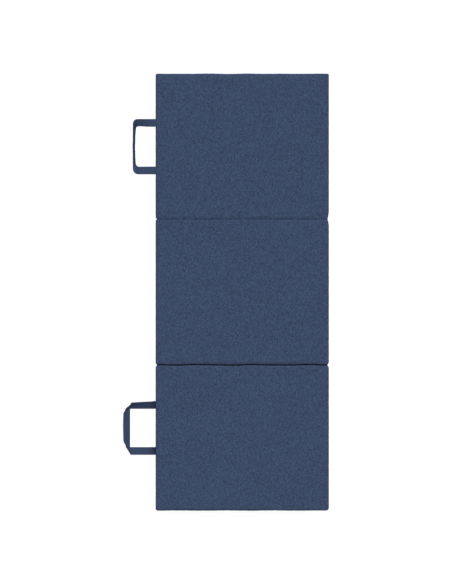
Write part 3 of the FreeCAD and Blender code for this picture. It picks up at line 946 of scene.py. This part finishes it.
def zip_coil(name, side):
    """One side of the chain: a flattened nylon coil, meshed with the coil opposite it.

    The wire's middle line is x = cx + a cos p, z = cz + b sin p and y = pitch p / 2 pi.
    """
    low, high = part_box(f"{name}_zip_coil_upper")
    centre = zip_centre(name)
    turns = int((high.y - low.y) / COIL_PITCH)
    per_turn = 8
    phase = np.arange(turns * per_turn + 1) * 2 * np.pi / per_turn
    x = (low.x + high.x) / 2 + (high.x - low.x) / 2 * 0.72 * np.cos(phase)
    z = centre + side * (0.0009 + 0.00135 * np.sin(phase))
    y = low.y + 0.0003 + COIL_PITCH * (phase / (2 * np.pi) + (0.5 if side > 0 else 0.0) * 0.98)
    line = np.stack([x, y, z], axis=1)
    tangent = np.gradient(line, axis=0)
    tangent /= np.linalg.norm(tangent, axis=1, keepdims=True)
    outward = np.stack([np.cos(phase), np.zeros_like(phase), side * np.sin(phase)], axis=1)
    outward -= tangent * np.sum(outward * tangent, axis=1, keepdims=True)
    outward /= np.linalg.norm(outward, axis=1, keepdims=True)
    aside = np.cross(tangent, outward)
    around = np.arange(COIL_SIDES) * 2 * np.pi / COIL_SIDES
    points = (line[:, None] + COIL_WIRE * np.cos(around)[None, :, None] * outward[:, None]
              + COIL_WIRE * np.sin(around)[None, :, None] * aside[:, None])
    word = "upper" if side > 0 else "lower"
    node = f"{name}_zip_coil_{word}"
    quads = grid_quads(len(line), COIL_SIDES, close_columns=True)[:, ::-1]
    last = (len(line) - 1) * COIL_SIDES
    caps = [list(range(COIL_SIDES))[::-1], list(range(last, last + COIL_SIDES))]
    piece = mesh_piece(f"{node}_wire", points, quads, coil, caps=caps)
    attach(piece, f"{name}_panel")
    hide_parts(node)


def zip_parts(panel):
    """Facings, tapes and coils of one panel's zip; its slider, pull and stops get their enamel."""
    name = panel.name
    y = np.linspace(*slot_ends(panel), 92)
    for side in (1, -1):
        zip_facing(name, side, y)
        zip_tape(name, side, y)
        zip_coil(name, side)
    for part in ("zip_slider", "zip_pull", "zip_stops"):
        node = frame["nodes"][f"{name}_{part}"]
        node.data.materials.clear()
        node.data.materials.append(enamel)


# ---------------------------------------------------------------- stitching

def stitch_row(name, line, outward, body):
    """A row of small thread stitches along a line of points, with the way out of the cloth at each.

    Each stitch is a low bump of thread: five places along it, each a ring of four points.
    """
    step = np.linalg.norm(np.diff(line, axis=0), axis=1)
    measure = np.concatenate([[0], np.cumsum(step)])
    count = int(measure[-1] / STITCH_PITCH)
    middle = (np.arange(count) + 0.5) * measure[-1] / count
    share = np.array([-0.5, -0.3, 0.0, 0.3, 0.5]) * STITCH_LENGTH
    size = np.array([0.35, 0.9, 1.0, 0.9, 0.35]) * STITCH_RADIUS
    height = np.array([-0.9, 0.1, 0.5, 0.1, -0.9]) * STITCH_RADIUS + STITCH_LIFT
    where = (middle[:, None] + share[None, :]).ravel()
    point = np.stack([np.interp(where, measure, line[:, i]) for i in range(3)], axis=1)
    up = np.stack([np.interp(where, measure, outward[:, i]) for i in range(3)], axis=1)
    up /= np.linalg.norm(up, axis=1, keepdims=True)
    ahead = np.stack([np.interp(where + 0.0005, measure, line[:, i]) for i in range(3)], axis=1) - point
    back = point - np.stack([np.interp(where - 0.0005, measure, line[:, i]) for i in range(3)], axis=1)
    ahead = ahead + back
    ahead /= np.linalg.norm(ahead, axis=1, keepdims=True)
    aside = np.cross(ahead, up)
    point = point + up * np.tile(height, count)[:, None]
    around = np.arange(4) * np.pi / 2 + np.pi / 4
    rings = point[:, None] + np.tile(size, count)[:, None, None] * (
        np.cos(around)[None, :, None] * aside[:, None] + np.sin(around)[None, :, None] * up[:, None])
    one = grid_quads(5, 4, close_columns=True)
    caps = np.array([[0, 1, 2, 3], [19, 18, 17, 16]])
    one = np.concatenate([one, caps])
    quads = (one[None] + 20 * np.arange(count)[:, None, None]).reshape(-1, 4)
    piece = mesh_piece(name, rings, quads, thread)
    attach(piece, body)


def sew_cover(panel, shape):
    """Stitches on a panel's side band, beside its top and bottom seams."""
    for word, row in (("bottom", 1), ("top", -2)):
        ring = shape.rows_of_band[row]
        line = np.concatenate([ring, ring[:1]])
        neighbour = np.concatenate([shape.rows_of_band[row - 1 if row < 0 else row + 1]] * 2)[:len(line)]
        ahead = np.gradient(line, axis=0)
        rise = (line - neighbour) * (1 if row < 0 else -1)
        outward = np.cross(rise, ahead)
        middle = line.mean(axis=0)
        flip = np.sign(np.sum(outward * (line - middle), axis=1, keepdims=True))
        outward = outward * flip
        outward /= np.linalg.norm(outward, axis=1, keepdims=True)
        stitch_row(f"{panel.name}_{word}_stitches", line, outward, f"{panel.name}_panel")


for number, panel in enumerate(PANELS):
    skin = CoverShape(panel)
    inflate(skin, f"{panel.name}_cover_form", 40 + number)
    settle(skin, panel)
    cover_pieces(panel, skin)
    foam_core(panel)
    sew_cover(panel, skin)
    zip_parts(panel)
hinge_strip("head_hinge_strip")
hinge_strip("foot_hinge_strip")
head_handle()
foot_handle()


# ---------------------------------------------------------------- stage

def floor_material():
    """Plain pale floor with a faint soft shadow: nearly white to the camera, grey to the light."""
    shader = Shader("pale_floor")
    shader.surface.inputs["Base Color"].default_value = (FLOOR_GREY, FLOOR_GREY, FLOOR_GREY, 1)
    shader.surface.inputs["Roughness"].default_value = 0.9
    path = shader.node("ShaderNodeLightPath").outputs
    seen = shader.math("MAXIMUM", path["Is Camera Ray"], path["Is Glossy Ray"])
    seen = shader.math("MAXIMUM", seen, path["Is Transmission Ray"])
    glow = shader.node("ShaderNodeEmission", {"Color": (1, 1, 1, 1), "Strength": FLOOR_GLOW})
    both = shader.node("ShaderNodeAddShader", {0: shader.surface.outputs[0], 1: glow.outputs[0]})
    mixed = shader.node("ShaderNodeMixShader", {0: seen, 1: shader.surface.outputs[0], 2: both.outputs[0]})
    output = shader.tree.nodes["Material Output"]
    shader.tree.links.new(mixed.outputs[0], output.inputs["Surface"])
    return shader.material


def add_sun(name, share, elevation, turn, softness):
    """A far lamp that gives a share of the light on level surfaces."""
    lamp = bpy.data.lights.new(name, "SUN")
    lamp.energy = share * math.pi / math.sin(elevation)
    lamp.angle = math.radians(softness)
    made = bpy.data.objects.new(name, lamp)
    made.rotation_euler = (elevation - math.pi / 2, 0, -turn)
    bpy.context.scene.collection.objects.link(made)


def stage():
    """The floor, the lamps, the world and the camera straight above the mat."""
    size = FLOOR_REACH
    corners = np.array([[-size, -size, -FLOOR_DROP], [size, -size, -FLOOR_DROP],
                        [size, size, -FLOOR_DROP], [-size, size, -FLOOR_DROP]])
    floor = mesh_piece("floor", corners, np.array([[0, 1, 2, 3]]), floor_material(), smooth=False)

    scene = bpy.context.scene
    world = bpy.data.worlds.new("soft_white")
    world.use_nodes = True
    background = world.node_tree.nodes["Background"]
    background.inputs["Color"].default_value = (1, 1, 1, 1)
    background.inputs["Strength"].default_value = SKY
    scene.world = world
    scene.view_settings.view_transform = "Standard"

    add_sun("window", WINDOW, WINDOW_ELEVATION, WINDOW_TURN, 24)
    add_sun("ceiling", CEILING, math.pi / 2, 0, 70)

    camera = bpy.data.cameras.new("camera")
    camera.sensor_width = SENSOR_WIDTH
    camera.lens = camera.sensor_width * VIEW_DISTANCE / VIEW_HEIGHT
    camera.clip_end = 100.0
    eye = bpy.data.objects.new("camera", camera)
    eye.location = (*VIEW_CENTRE, THICKNESS + VIEW_DISTANCE)
    scene.collection.objects.link(eye)
    scene.camera = eye


stage()
